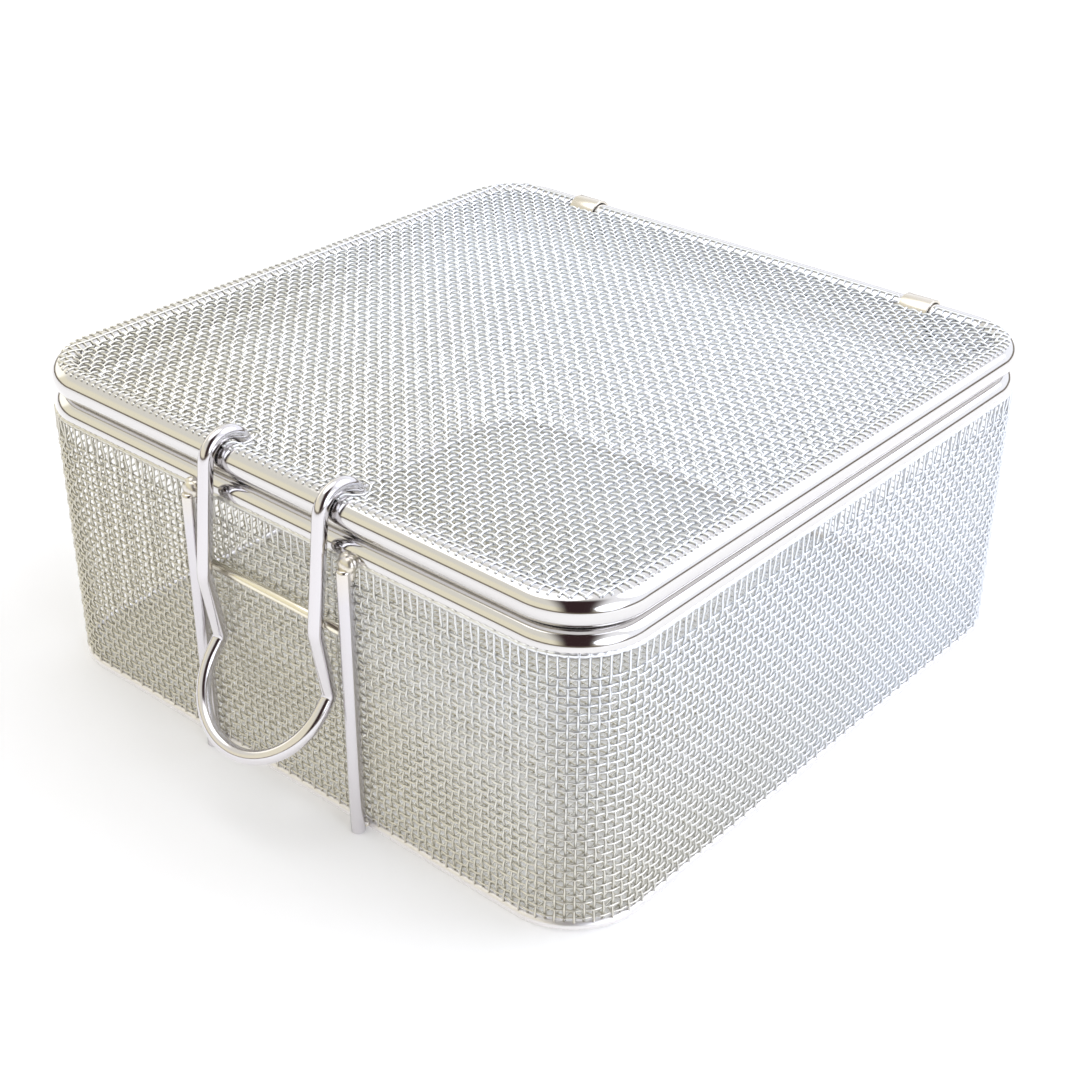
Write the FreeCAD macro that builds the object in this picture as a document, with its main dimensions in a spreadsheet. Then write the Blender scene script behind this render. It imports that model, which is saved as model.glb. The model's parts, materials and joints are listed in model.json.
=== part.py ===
import FreeCAD, Part
import math
import os
import Sketcher
from FreeCAD import Placement, Rotation, Vector

# Sterilization basket of woven wire cloth with a hinged lid and a wire latch.
# Millimetres, +Z up, origin at the middle of the base.
# The latch is at the front (-Y), the hinge at the rear (+Y).

doc = FreeCAD.newDocument("sterilization_basket")
sheet = doc.addObject("Spreadsheet::Sheet", "sizes")

SIZES = [
    ("outer_width", 107.0, "across the outside of the wire cloth walls"),
    ("wall_corner", 11.0, "plan radius of a wall corner, at the middle of the cloth"),
    ("cloth_wire", 0.34, "wire of the cloth"),
    ("bead_wire", 4.4, "thickness of the two rim beads"),
    ("bead_gap", 0.2, "gap between the closed lid's bead and the basket's"),
    ("bead_proud", 0.04, "bead outside the middle of the cloth"),
    ("lid_level", 46.8, "height of the lid bead's centre line"),
    ("base_wire", 1.4, "wire of the bottom ring"),
    ("hem_top", 2.5, "plain edge of the wall cloth at the rim"),
    ("hem_bottom", 1.4, "plain edge of the wall cloth at the bottom ring"),
    ("hem_rise", 0.5, "wall cloth's lower edge above the bottom ring's middle"),
    ("ribbon", 2.4, "width of a woven strand group"),
    ("strand_margin", 0.15, "flat stretch of a strand past a crossing"),
    ("strand_root", 1.0, "strand's run into a plain edge"),
    ("level_strand", 0.24, "thickness of a level strand of the wall"),
    ("lid_mesh_rise", 1.7, "lid cloth above the lid bead's centre line"),
    ("lid_hem", 5.4, "lid cloth's plain edge, in from the bead's centre line"),
    ("base_hem", 3.0, "bottom cloth's plain edge"),
    ("base_inset", 0.45, "bottom cloth's edge, in from the bottom ring's middle"),
    ("base_corner", 10.0, "plan radius of the bottom cloth's corners"),
    ("upright_wire", 2.1, "wire of the two uprights"),
    ("upright_offset", 14.8, "upright to the middle of the front"),
    ("upright_top", 41.4, "height of an upright's top end"),
    ("weld_width", 1.5, "width of an upright's weld"),
    ("weld_length", 2.2, "length of an upright's weld"),
    ("catch_wire", 1.4, "wire of the catch bar"),
    ("catch_level", 31.5, "height of the catch bar"),
    ("catch_out", 0.1, "catch bar off the outside of the cloth"),
    ("latch_wire", 2.1, "wire of the latch"),
    ("latch_half_span", 10.8, "latch leg to the middle, and radius of the finger ring"),
    ("hook_play", 0.2, "hook's running clearance on the bead"),
    ("hook_tip_angle", -5.0, "hook's end, from straight inward, degrees"),
    ("leg_out", 56.4, "latch leg's outermost bend, from the middle of the basket"),
    ("leg_level", 30.95, "height of that bend"),
    ("leg_bend", 5.0, "radius of that bend"),
    ("kink_bend", 1.6, "radius of the kink above the finger ring"),
    ("kink_rise", 2.1, "kink to the start of the finger ring"),
    ("ring_out", 56.0, "finger ring's centre, from the middle of the basket"),
    ("ring_level", 18.95, "height of the finger ring's centre"),
    ("ring_tilt", 41.0, "finger ring's lean out of the vertical, degrees"),
    ("slot_play", 0.4, "room round a hook in the lid cloth"),
    ("strap_offset", 33.0, "hinge strap to the middle of the rear"),
    ("strap_width", 5.0, "width of a hinge strap"),
    ("strap_sheet", 0.4, "thickness of a hinge strap"),
    ("strap_play", 0.12, "strap's running clearance on the lid bead"),
    ("strap_inner_drop", 5.6, "inner leg of a strap, down from the lid bead's centre line"),
    ("strap_outer_drop", 4.0, "outer leg of a strap, down from the lid bead's centre line"),
    ("strap_weld_depth", 1.1, "strap's weld seam, from the bead towards its middle"),
    ("strap_weld_height", 2.2, "height of that seam"),
]

for row, (alias, value, note) in enumerate(SIZES, start=1):
    sheet.set("A%d" % row, note)
    sheet.set("B%d" % row, str(value))
    sheet.setAlias("B%d" % row, alias)
doc.recompute()


def size(alias):
    """A driving dimension, as the sheet holds it."""
    return float(sheet.get(alias))


# Expressions that several pieces share

BEAD_HALF = "(sizes.outer_width / 2 - sizes.cloth_wire + sizes.bead_proud - sizes.bead_wire / 2)"
BEAD_CORNER = "(sizes.wall_corner + sizes.bead_proud - sizes.bead_wire / 2)"
BEAD_PITCH = "(sizes.bead_wire + sizes.bead_gap)"
BASE_HALF = "(sizes.outer_width / 2 - sizes.base_wire / 2)"
BASE_CORNER = "(sizes.wall_corner + sizes.cloth_wire - sizes.base_wire / 2)"

# The same places as numbers, for the shapes worked out in code

OUTER_HALF = size("outer_width") / 2
CLOTH = 2 * size("cloth_wire")
MID = OUTER_HALF - size("cloth_wire")
BEAD_R = size("bead_wire") / 2
BEAD_LINE = MID + size("bead_proud") - BEAD_R
LID_LEVEL = size("lid_level")
RIM_LEVEL = LID_LEVEL - size("bead_wire") - size("bead_gap")
BASE_R = size("base_wire") / 2


def origin_plane(body, role):
    """One of a body's own origin planes, by its role."""
    return [f for f in body.Origin.OriginFeatures if f.Role == role][0]


def new_body(name):
    """An empty body, labelled with its name."""
    body = doc.addObject("PartDesign::Body", name)
    body.Label = name
    return body


def new_sketch(body, name, role):
    """A sketch on one of the body's origin planes."""
    sketch = body.newObject("Sketcher::SketchObject", name)
    sketch.AttachmentSupport = [(origin_plane(body, role), "")]
    sketch.MapMode = "FlatFace"
    return sketch


def drive(sketch, constraint, name, expression):
    """Adds a constraint, names it and binds its value to the sheet."""
    index = sketch.addConstraint(constraint)
    sketch.renameConstraint(index, name)
    sketch.setExpression("Constraints." + name, expression)


def rounded_square(sketch, half, corner, half_expression, corner_expression):
    """A square about the origin with round corners: four lines and four tangent arcs."""
    run = half - corner
    lines = []
    arcs = []
    for turn in range(4):
        quarter = Rotation(Vector(0, 0, 1), 90 * turn)
        start = quarter.multVec(Vector(half, -run, 0))
        end = quarter.multVec(Vector(half, run, 0))
        lines.append(sketch.addGeometry(Part.LineSegment(start, end)))
    for turn, (sx, sy) in enumerate([(1, 1), (-1, 1), (-1, -1), (1, -1)]):
        circle = Part.Circle(Vector(sx * run, sy * run, 0), Vector(0, 0, 1), corner)
        start = turn * math.pi / 2
        arcs.append(sketch.addGeometry(Part.ArcOfCircle(circle, start, start + math.pi / 2)))
    for turn in range(4):
        sketch.addConstraint(Sketcher.Constraint("Tangent", lines[turn], 2, arcs[turn], 1))
        sketch.addConstraint(Sketcher.Constraint("Tangent", arcs[turn], 2, lines[(turn + 1) % 4], 1))
    sketch.addConstraint(Sketcher.Constraint("Vertical", lines[0]))
    sketch.addConstraint(Sketcher.Constraint("Horizontal", lines[1]))
    for turn in range(1, 4):
        sketch.addConstraint(Sketcher.Constraint("Equal", arcs[0], arcs[turn]))
    to_right = Sketcher.Constraint("DistanceX", -1, 1, lines[0], 1, half)
    to_back = Sketcher.Constraint("DistanceY", -1, 1, lines[1], 1, half)
    to_left = Sketcher.Constraint("DistanceX", lines[2], 1, -1, 1, half)
    to_front = Sketcher.Constraint("DistanceY", lines[3], 1, -1, 1, half)
    drive(sketch, to_right, "right_half", half_expression)
    drive(sketch, to_back, "back_half", half_expression)
    drive(sketch, to_left, "left_half", half_expression)
    drive(sketch, to_front, "front_half", half_expression)
    drive(sketch, Sketcher.Constraint("Radius", arcs[0], corner), "corner", corner_expression)


def wire_hoop(name, half, corner, radius, expressions):
    """A round wire carried along a rounded square: a rim bead or the bottom ring."""
    half_expression, corner_expression, radius_expression, level_expression = expressions
    body = new_body(name)
    path = new_sketch(body, name + "_path", "XY_Plane")
    rounded_square(path, half, corner, half_expression, corner_expression)
    section = new_sketch(body, name + "_section", "XZ_Plane")
    section.addGeometry(Part.Circle(Vector(half, 0, 0), Vector(0, 0, 1), radius))
    section.addConstraint(Sketcher.Constraint("PointOnObject", 0, 3, -1))
    drive(section, Sketcher.Constraint("DistanceX", -1, 1, 0, 3, half), "out", half_expression)
    drive(section, Sketcher.Constraint("Radius", 0, radius), "radius", radius_expression)
    section.setExpression("AttachmentOffset.Base.z", half_expression + " - " + corner_expression)
    pipe = body.newObject("PartDesign::AdditivePipe", name + "_wire")
    pipe.Profile = section
    pipe.Spine = path
    body.setExpression("Placement.Base.z", level_expression)
    doc.recompute()
    return body


# Rim beads and bottom ring

bead_corner = size("wall_corner") + size("bead_proud") - BEAD_R
rim_level_text = "sizes.lid_level - " + BEAD_PITCH
basket_rim = wire_hoop(
    "basket_rim", BEAD_LINE, bead_corner, BEAD_R,
    (BEAD_HALF, BEAD_CORNER, "sizes.bead_wire / 2", rim_level_text))
lid_rim = wire_hoop(
    "lid_rim", BEAD_LINE, bead_corner, BEAD_R,
    (BEAD_HALF, BEAD_CORNER, "sizes.bead_wire / 2", "sizes.lid_level"))
ring_corner = size("wall_corner") + size("cloth_wire") - BASE_R
base_ring = wire_hoop(
    "base_ring", OUTER_HALF - BASE_R, ring_corner, BASE_R,
    (BASE_HALF, BASE_CORNER, "sizes.base_wire / 2", "sizes.base_wire / 2"))


# Woven cloth

def plan_wire(half, corner, level):
    """The outline of a rounded square at a height."""
    run = half - corner
    edges = []
    for turn in range(4):
        angle = turn * math.pi / 2
        out = Vector(math.cos(angle), math.sin(angle), 0)
        side = Vector(-math.sin(angle), math.cos(angle), 0)
        start = out * half - side * run
        end = out * half + side * run
        centre = out * run + side * run
        middle = centre + (out + side) * (corner / math.sqrt(2))
        finish = out * run + side * half
        edges.append(Part.LineSegment(start, end).toShape())
        edges.append(Part.Arc(end, middle, finish).toShape())
    wire = Part.Wire(edges)
    wire.translate(Vector(0, 0, level))
    return wire


def band(outer_half, outer_corner, width, bottom, height):
    """A rounded square frame, such as a hem or a level strand of the wall."""
    outer = Part.Face(plan_wire(outer_half, outer_corner, bottom))
    inner = Part.Face(plan_wire(outer_half - width, outer_corner - width, bottom))
    return outer.cut(inner).extrude(Vector(0, 0, height))


def strand_profile(crossings, flat, ends, first_side, rise):
    """Centre line of a strand that passes over and under: flat at a crossing, sloped between."""
    points = [(ends[0], 0.0), (ends[1], 0.0)]
    side = first_side
    for place in crossings:
        points.append((place - flat, side * rise))
        points.append((place + flat, side * rise))
        side = -side
    points += [(ends[2], 0.0), (ends[3], 0.0)]
    return points


def strand(points, along, normal, across, thick, width):
    """A flat strand: its centre line given a thickness, then a width."""
    upper = [along * u + normal * (w + thick / 2) for u, w in points]
    lower = [along * u + normal * (w - thick / 2) for u, w in reversed(points)]
    outline = upper + lower
    outline.append(outline[0])
    face = Part.Face(Part.makePolygon(outline))
    face.translate(across * (-width / 2))
    return face.extrude(across * width)


def even_places(half_opening, width, gaps):
    """Middles of the strands that split an opening into equal gaps."""
    pitch = (2 * half_opening + width) / gaps
    return [(k - (gaps - 2) / 2) * pitch for k in range(gaps - 1)]


X = Vector(1, 0, 0)
Y = Vector(0, 1, 0)
Z = Vector(0, 0, 1)
RIBBON = size("ribbon")
STRAND = size("cloth_wire")
FLAT = RIBBON / 2 + size("strand_margin")
ROOT = size("strand_root")


def fused(pieces):
    """One solid out of pieces that meet or overlap."""
    return pieces[0].multiFuse(pieces[1:]).removeSplitter()


def cloth_feature(name, shape):
    """A piece of cloth as a feature of the document."""
    feature = doc.addObject("Part::Feature", name)
    feature.Label = name
    feature.Shape = shape
    return feature


# Lid cloth: strands cross over and under each other, inside a plain edge

LID_GAPS_ACROSS = 10
LID_GAPS_DEEP = 9
lid_open = BEAD_LINE - size("lid_hem")
lid_plane = LID_LEVEL + size("lid_mesh_rise")
lid_pieces = [band(BEAD_LINE, bead_corner, size("lid_hem"), -STRAND / 2, STRAND)]
lid_x = even_places(lid_open, RIBBON, LID_GAPS_ACROSS)
lid_y = even_places(lid_open, RIBBON, LID_GAPS_DEEP)
lid_ends = (-lid_open - ROOT, -lid_open, lid_open, lid_open + ROOT)
for k, place in enumerate(lid_x):
    profile = strand_profile(lid_y, FLAT, lid_ends, 1 - 2 * (k % 2), STRAND / 2)
    piece = strand(profile, Y, Z, X, STRAND, RIBBON)
    piece.translate(X * place)
    lid_pieces.append(piece)
for k, place in enumerate(lid_y):
    profile = strand_profile(lid_x, FLAT, lid_ends, 2 * (k % 2) - 1, STRAND / 2)
    piece = strand(profile, X, Z, Y, STRAND, RIBBON)
    piece.translate(Y * place)
    lid_pieces.append(piece)
lid_cloth = fused(lid_pieces)
lid_cloth.translate(Z * lid_plane)

hook_radius = BEAD_R + size("hook_play") + size("latch_wire") / 2
hook_reach = hook_radius + size("latch_wire") / 2 + size("slot_play")
slot_width = size("latch_wire") + 2 * size("slot_play")
slots = []
for side in (-1, 1):
    corner = Vector(side * size("latch_half_span") - slot_width / 2, -BEAD_LINE, lid_plane - CLOTH)
    slots.append(Part.makeBox(slot_width, hook_reach, 2 * CLOTH, corner))
strap_reach = BEAD_R + size("strap_play") + size("strap_sheet") + size("slot_play")
strap_room = size("strap_width") + 2 * size("slot_play")
for side in (-1, 1):
    left = side * size("strap_offset") - strap_room / 2
    corner = Vector(left, BEAD_LINE - strap_reach, lid_plane - CLOTH)
    slots.append(Part.makeBox(strap_room, strap_reach, 2 * CLOTH, corner))
lid_cloth = lid_cloth.cut([lid_rim.Shape] + slots)
lid_mesh = cloth_feature("lid_mesh", lid_cloth)


# Bottom cloth: two layers of strands, the lower ones flat on the ground

BASE_GAPS = 9
base_edge = OUTER_HALF - BASE_R - size("base_inset")
base_open = base_edge - size("base_hem")
base_pieces = [band(base_edge, size("base_corner"), size("base_hem"), 0, CLOTH)]
base_places = even_places(base_open, RIBBON, BASE_GAPS)
base_run = 2 * (base_open + ROOT)
for place in base_places:
    corner = Vector(place - RIBBON / 2, -base_run / 2, 0)
    base_pieces.append(Part.makeBox(RIBBON, base_run, STRAND, corner))
    corner = Vector(-base_run / 2, place - RIBBON / 2, STRAND)
    base_pieces.append(Part.makeBox(base_run, RIBBON, STRAND, corner))
base_cloth = fused(base_pieces).cut(base_ring.Shape)
base_mesh = cloth_feature("base_mesh", base_cloth)


# Wall cloth: level strands all round, upright strands woven in front of and behind them

WALL_ROWS = 3
RIBS_PER_SIDE = 7
level_strand = size("level_strand")
rib_strand = (CLOTH - level_strand) / 2
rib_rise = (level_strand + rib_strand) / 2
wall_corner = size("wall_corner")
hem_low = BASE_R + size("hem_rise")
hem_low_top = hem_low + size("hem_bottom")
hem_high = RIM_LEVEL - size("hem_top")
wall_pieces = [
    band(OUTER_HALF, wall_corner + CLOTH / 2, CLOTH, hem_low, size("hem_bottom")),
    band(OUTER_HALF, wall_corner + CLOTH / 2, CLOTH, hem_high, size("hem_top")),
]
row_pitch = (hem_high - hem_low_top + RIBBON) / WALL_ROWS
level_places = [hem_low_top + (k + 1) * row_pitch - RIBBON / 2 for k in range(WALL_ROWS - 1)]
for place in level_places:
    wall_pieces.append(band(
        MID + level_strand / 2, wall_corner + level_strand / 2, level_strand, place - RIBBON / 2, RIBBON))
rib_ends = (hem_low_top - ROOT, hem_low_top, hem_high, hem_high + ROOT)
straight_run = 2 * (MID - wall_corner)
rib_pitch = straight_run / RIBS_PER_SIDE
corner_half_turn = math.degrees(RIBBON / 2 / wall_corner)
rib_count = 0
for turn in range(4):
    quarter = Rotation(Z, 90 * turn)
    out = quarter.multVec(X)
    side = quarter.multVec(Y)
    for k in range(RIBS_PER_SIDE):
        first_side = 1 - 2 * (rib_count % 2)
        points = strand_profile(level_places, FLAT, rib_ends, first_side, rib_rise)
        rib = strand(points, Z, out, side, rib_strand, RIBBON)
        rib.translate(out * MID + side * ((k - (RIBS_PER_SIDE - 1) / 2) * rib_pitch))
        wall_pieces.append(rib)
        rib_count += 1
    first_side = 1 - 2 * (rib_count % 2)
    points = strand_profile(level_places, FLAT, rib_ends, first_side, rib_rise)
    outline = [Vector(wall_corner + w + rib_strand / 2, 0, u) for u, w in points]
    outline += [Vector(wall_corner + w - rib_strand / 2, 0, u) for u, w in reversed(points)]
    outline.append(outline[0])
    rib = Part.Face(Part.makePolygon(outline))
    rib.rotate(Vector(0, 0, 0), Z, 90 * turn + 45 - corner_half_turn)
    rib = rib.revolve(Vector(0, 0, 0), Z, 2 * corner_half_turn)
    rib.translate((out + side) * (MID - wall_corner))
    wall_pieces.append(rib)
    rib_count += 1
wall_cloth = fused(wall_pieces).cut([basket_rim.Shape, base_ring.Shape])
wall_mesh = cloth_feature("wall_mesh", wall_cloth)


# Uprights: round wires down the front wall, welded flat to the cloth's edges

UPRIGHT_Y = "(-sizes.outer_width / 2 - sizes.upright_wire / 2)"


def weld_outline(sketch, end, level, level_expression):
    """A weld's rectangle, symmetric about the upright, at one of its two ends."""
    half = size("weld_width") / 2
    length = size("weld_length")
    corners = [
        Vector(-half, level, 0), Vector(half, level, 0),
        Vector(half, level + length, 0), Vector(-half, level + length, 0)]
    lines = []
    for i in range(4):
        lines.append(sketch.addGeometry(Part.LineSegment(corners[i], corners[(i + 1) % 4])))
    for i in range(4):
        sketch.addConstraint(Sketcher.Constraint("Coincident", lines[i], 2, lines[(i + 1) % 4], 1))
    sketch.addConstraint(Sketcher.Constraint("Horizontal", lines[2]))
    sketch.addConstraint(Sketcher.Constraint("Vertical", lines[1]))
    sketch.addConstraint(Sketcher.Constraint("Vertical", lines[3]))
    sketch.addConstraint(Sketcher.Constraint("Symmetric", lines[0], 1, lines[0], 2, -2))
    wide = Sketcher.Constraint("DistanceX", lines[0], 1, lines[0], 2, 2 * half)
    tall = Sketcher.Constraint("DistanceY", lines[1], 1, lines[1], 2, length)
    up = Sketcher.Constraint("DistanceY", -1, 1, lines[0], 1, level)
    drive(sketch, wide, end + "_width", "sizes.weld_width")
    drive(sketch, tall, end + "_length", "sizes.weld_length")
    drive(sketch, up, end + "_level", level_expression)


def upright(name, sign):
    """An upright wire with a flat weld towards the wall near each end."""
    body = new_body(name)
    radius = size("upright_wire") / 2
    section = new_sketch(body, name + "_section", "XY_Plane")
    section.addGeometry(Part.Circle(Vector(0, 0, 0), Vector(0, 0, 1), radius))
    section.addConstraint(Sketcher.Constraint("Coincident", 0, 3, -1, 1))
    drive(section, Sketcher.Constraint("Radius", 0, radius), "radius", "sizes.upright_wire / 2")
    pad = body.newObject("PartDesign::Pad", name + "_wire")
    pad.Profile = section
    pad.setExpression("Length", "sizes.upright_top")
    welds = new_sketch(body, name + "_weld_outline", "XZ_Plane")
    upper_weld = size("upright_top") - size("weld_length")
    weld_outline(welds, "lower", hem_low, "sizes.base_wire / 2 + sizes.hem_rise")
    weld_outline(welds, "upper", upper_weld, "sizes.upright_top - sizes.weld_length")
    weld = body.newObject("PartDesign::Pad", name + "_weld")
    weld.Profile = welds
    weld.setExpression("Length", "sizes.upright_wire / 2")
    weld.Reversed = True
    body.setExpression("Placement.Base.x", "%d * sizes.upright_offset" % sign)
    body.setExpression("Placement.Base.y", UPRIGHT_Y)
    doc.recompute()
    return body


upright_left = upright("upright_left", -1)
upright_right = upright("upright_right", 1)


# Catch bar: a thin wire whose ends are shaped to the uprights

catch_y = -(OUTER_HALF + size("catch_out") + size("catch_wire") / 2)
catch_wire = doc.addObject("Part::Cylinder", "catch_wire_blank")
catch_wire.setExpression("Radius", "sizes.catch_wire / 2")
catch_wire.setExpression("Height", "2 * sizes.upright_offset")
catch_wire.Placement = Placement(
    Vector(-size("upright_offset"), catch_y, size("catch_level")), Rotation(Vector(0, 1, 0), 90))
catch_wire.setExpression("Placement.Base.x", "-sizes.upright_offset")
catch_y_text = "-(sizes.outer_width / 2 + sizes.catch_out + sizes.catch_wire / 2)"
catch_wire.setExpression("Placement.Base.y", catch_y_text)
catch_wire.setExpression("Placement.Base.z", "sizes.catch_level")
catch_tools = []
for sign, name in ((-1, "left"), (1, "right")):
    tool = doc.addObject("Part::Cylinder", "catch_end_" + name)
    tool.setExpression("Radius", "sizes.upright_wire / 2")
    tool.setExpression("Height", "sizes.upright_top")
    tool.setExpression("Placement.Base.x", "%d * sizes.upright_offset" % sign)
    tool.setExpression("Placement.Base.y", UPRIGHT_Y)
    catch_tools.append(tool)
catch_ends = doc.addObject("Part::Fuse", "catch_ends")
catch_ends.Base = catch_tools[0]
catch_ends.Tool = catch_tools[1]
catch_bar = doc.addObject("Part::Cut", "catch_bar")
catch_bar.Base = catch_wire
catch_bar.Tool = catch_ends
catch_bar.Label = "catch_bar"


# Hinge straps: sheet folded over the lid's rear bead, with a weld on the basket's bead

def half_turn(sketch, radius):
    """The upper half of a circle about the sketch's origin."""
    circle = Part.Circle(Vector(0, 0, 0), Vector(0, 0, 1), radius)
    return sketch.addGeometry(Part.ArcOfCircle(circle, 0, math.pi))


def edge(sketch, start, end):
    """A straight line between two points of the sketch."""
    return sketch.addGeometry(Part.LineSegment(Vector(*start, 0), Vector(*end, 0)))


def hinge_strap(name, sign):
    """Sheet folded like a U upside down, its outline seen along the bead."""
    body = new_body(name)
    inner = BEAD_R + size("strap_play")
    outer = inner + size("strap_sheet")
    inner_text = "(sizes.bead_wire / 2 + sizes.strap_play)"
    outer_text = "(sizes.bead_wire / 2 + sizes.strap_play + sizes.strap_sheet)"
    drop_in = size("strap_inner_drop")
    drop_out = size("strap_outer_drop")
    fold = new_sketch(body, name + "_outline", "YZ_Plane")
    big = half_turn(fold, outer)
    small = half_turn(fold, inner)
    front_out = edge(fold, (-outer, 0), (-outer, -drop_in))
    front_end = edge(fold, (-outer, -drop_in), (-inner, -drop_in))
    front_in = edge(fold, (-inner, -drop_in), (-inner, 0))
    rear_in = edge(fold, (inner, 0), (inner, -drop_out))
    rear_end = edge(fold, (inner, -drop_out), (outer, -drop_out))
    rear_out = edge(fold, (outer, -drop_out), (outer, 0))
    fold.addConstraint(Sketcher.Constraint("Coincident", big, 3, -1, 1))
    fold.addConstraint(Sketcher.Constraint("Coincident", small, 3, -1, 1))
    fold.addConstraint(Sketcher.Constraint("Tangent", big, 2, front_out, 1))
    fold.addConstraint(Sketcher.Constraint("Coincident", front_out, 2, front_end, 1))
    fold.addConstraint(Sketcher.Constraint("Coincident", front_end, 2, front_in, 1))
    fold.addConstraint(Sketcher.Constraint("Tangent", front_in, 2, small, 2))
    fold.addConstraint(Sketcher.Constraint("Tangent", small, 1, rear_in, 1))
    fold.addConstraint(Sketcher.Constraint("Coincident", rear_in, 2, rear_end, 1))
    fold.addConstraint(Sketcher.Constraint("Coincident", rear_end, 2, rear_out, 1))
    fold.addConstraint(Sketcher.Constraint("Tangent", rear_out, 2, big, 1))
    for line in (front_out, front_in, rear_in, rear_out):
        fold.addConstraint(Sketcher.Constraint("Vertical", line))
    for line in (front_end, rear_end):
        fold.addConstraint(Sketcher.Constraint("Horizontal", line))
    drive(fold, Sketcher.Constraint("Radius", big, outer), "outside", outer_text)
    drive(fold, Sketcher.Constraint("Radius", small, inner), "inside", inner_text)
    inner_end = Sketcher.Constraint("DistanceY", front_end, 1, -1, 1, drop_in)
    outer_end = Sketcher.Constraint("DistanceY", rear_end, 1, -1, 1, drop_out)
    drive(fold, inner_end, "inner_drop", "sizes.strap_inner_drop")
    drive(fold, outer_end, "outer_drop", "sizes.strap_outer_drop")
    sheet_pad = body.newObject("PartDesign::Pad", name + "_sheet")
    sheet_pad.Profile = fold
    sheet_pad.setExpression("Length", "sizes.strap_width")
    sheet_pad.Midplane = True
    body.Placement = Placement(Vector(sign * size("strap_offset"), BEAD_LINE, LID_LEVEL), Rotation())
    body.setExpression("Placement.Base.x", "%d * sizes.strap_offset" % sign)
    body.setExpression("Placement.Base.y", BEAD_HALF)
    body.setExpression("Placement.Base.z", "sizes.lid_level")
    doc.recompute()
    return body


strap_left = hinge_strap("strap_left_fold", -1)
strap_right = hinge_strap("strap_right_fold", 1)


def welded_strap(name, fold, sign):
    """The folded strap with its weld seam, both trimmed to the basket's bead."""
    weld = doc.addObject("Part::Box", name + "_weld")
    weld.setExpression("Length", "sizes.strap_width")
    weld.setExpression("Width", "sizes.strap_weld_depth")
    weld.setExpression("Height", "sizes.strap_weld_height")
    weld.setExpression("Placement.Base.x", "%d * sizes.strap_offset - sizes.strap_width / 2" % sign)
    weld.setExpression("Placement.Base.y", BEAD_HALF + " - sizes.bead_wire / 2 - sizes.strap_play")
    weld.setExpression("Placement.Base.z", rim_level_text + " - sizes.strap_weld_height / 2")
    joined = doc.addObject("Part::Fuse", name + "_joined")
    joined.Base = fold
    joined.Tool = weld
    trimmed = doc.addObject("Part::Cut", name)
    trimmed.Base = joined
    trimmed.Tool = basket_rim
    trimmed.Label = name
    return trimmed


hinge_strap_left = welded_strap("hinge_strap_left", strap_left, -1)
hinge_strap_right = welded_strap("hinge_strap_right", strap_right, 1)


# Latch: one round wire, from hook to leg, kink, finger ring and back

def bent(before, at, after, radius):
    """Where a bend of a given radius starts, its middle and where it ends."""
    into = (at - before).normalize()
    away = (after - at).normalize()
    turn = into.getAngle(away)
    trim = radius * math.tan(turn / 2)
    inside = (away - into).normalize()
    centre = at + inside * (radius / math.cos(turn / 2))
    return at - into * trim, centre - inside * radius, at + away * trim


def tangent_point(centre, radius, point):
    """Where a straight leg from a point leaves the hook's circle, on the front side."""
    gap = point - centre
    reach = gap.Length
    lean = math.acos(radius / reach)
    base = math.atan2(gap.z, gap.y)
    angle = base - lean
    return centre + Vector(0, math.cos(angle), math.sin(angle)) * radius, math.degrees(angle) % 360


half_span = size("latch_half_span")
tilt = math.radians(size("ring_tilt"))
ring_drop = Vector(0, -math.sin(tilt), -math.cos(tilt))
hook_centre = Vector(0, -BEAD_LINE, LID_LEVEL)
elbow = Vector(0, -size("leg_out"), size("leg_level"))
ring_start = Vector(0, -size("ring_out"), size("ring_level"))
kink = ring_start - ring_drop * size("kink_rise")
leave, leave_angle = tangent_point(hook_centre, hook_radius, elbow)
tip_angle = size("hook_tip_angle")


def on_hook(angle):
    """A point of the hook's centre line, by its angle from straight inward."""
    turn = math.radians(angle)
    return hook_centre + Vector(0, math.cos(turn), math.sin(turn)) * hook_radius


elbow_in, elbow_mid, elbow_out = bent(leave, elbow, kink, size("leg_bend"))
kink_in, kink_mid, kink_out = bent(elbow, kink, ring_start, size("kink_bend"))
leg_points = [
    ("arc", on_hook(tip_angle), on_hook((tip_angle + leave_angle) / 2), leave),
    ("line", leave, elbow_in),
    ("arc", elbow_in, elbow_mid, elbow_out),
    ("line", elbow_out, kink_in),
    ("arc", kink_in, kink_mid, kink_out),
    ("line", kink_out, ring_start),
]


def leg_edges(x):
    """The six stretches of one leg, at its side of the latch."""
    shift = Vector(x, 0, 0)
    edges = []
    for kind, *points in leg_points:
        curve = Part.Arc if kind == "arc" else Part.LineSegment
        edges.append(curve(*[p + shift for p in points]).toShape())
    return edges


ring_bottom = ring_start + ring_drop * half_span
ring_edge = Part.Arc(ring_start - X * half_span, ring_bottom, ring_start + X * half_span).toShape()
latch_path = doc.addObject("Part::Feature", "latch_path")
right_leg = list(reversed(leg_edges(half_span)))
latch_path.Shape = Part.Wire(leg_edges(-half_span) + [ring_edge] + right_leg)
latch_section = doc.addObject("Part::Circle", "latch_section")
latch_section.setExpression("Radius", "sizes.latch_wire / 2")
tip = on_hook(tip_angle) - X * half_span
heading = Vector(0, -math.sin(math.radians(tip_angle)), math.cos(math.radians(tip_angle)))
latch_section.Placement = Placement(tip, Rotation(Z, heading))
latch = doc.addObject("Part::Sweep", "latch")
latch.Sections = [latch_section]
latch.Spine = (latch_path, ["Edge%d" % (k + 1) for k in range(len(latch_path.Shape.Edges))])
latch.Solid = True
latch.Frenet = False
latch.Label = "latch"

doc.recompute()

NODES = [
    basket_rim, wall_mesh, base_mesh, base_ring, upright_left, upright_right, catch_bar,
    hinge_strap_left, hinge_strap_right, lid_rim, lid_mesh, latch,
]

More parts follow.
